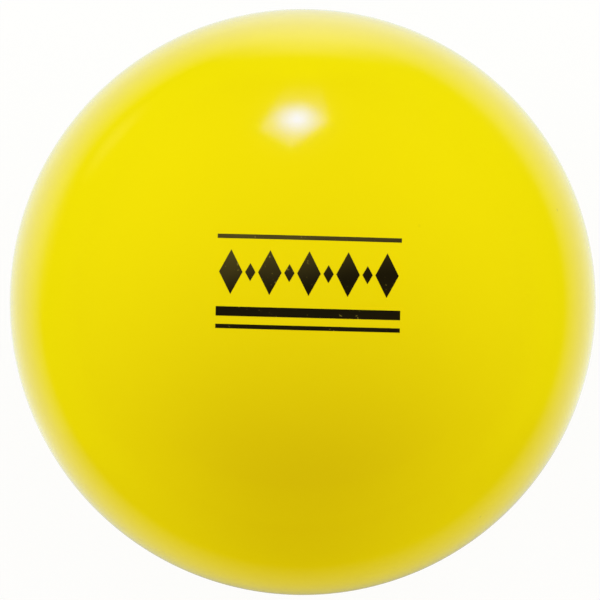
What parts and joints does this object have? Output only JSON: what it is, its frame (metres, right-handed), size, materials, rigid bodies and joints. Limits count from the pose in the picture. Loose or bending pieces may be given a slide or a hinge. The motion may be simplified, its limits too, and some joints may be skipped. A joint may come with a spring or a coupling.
{
  "type": "field hockey ball",
  "caption": "Smooth yellow match ball for field hockey: a hollow moulded plastic sphere with a high-gloss skin and an even wall.",
  "frame": {"origin": "the centre of the ball", "axes": "+Z from the centre out through the middle of the printed side, +Y towards the top of the print and +X to its right"},
  "size_m": [0.0732, 0.0732, 0.0732],
  "materials": {
    "yellow_pvc": "smooth, high gloss, opaque",
    "print_ink": "thin pad-printed ink, satin"
  },
  "bodies": {
    "root": {"ball": "yellow_pvc"}
  },
  "joints": []
}
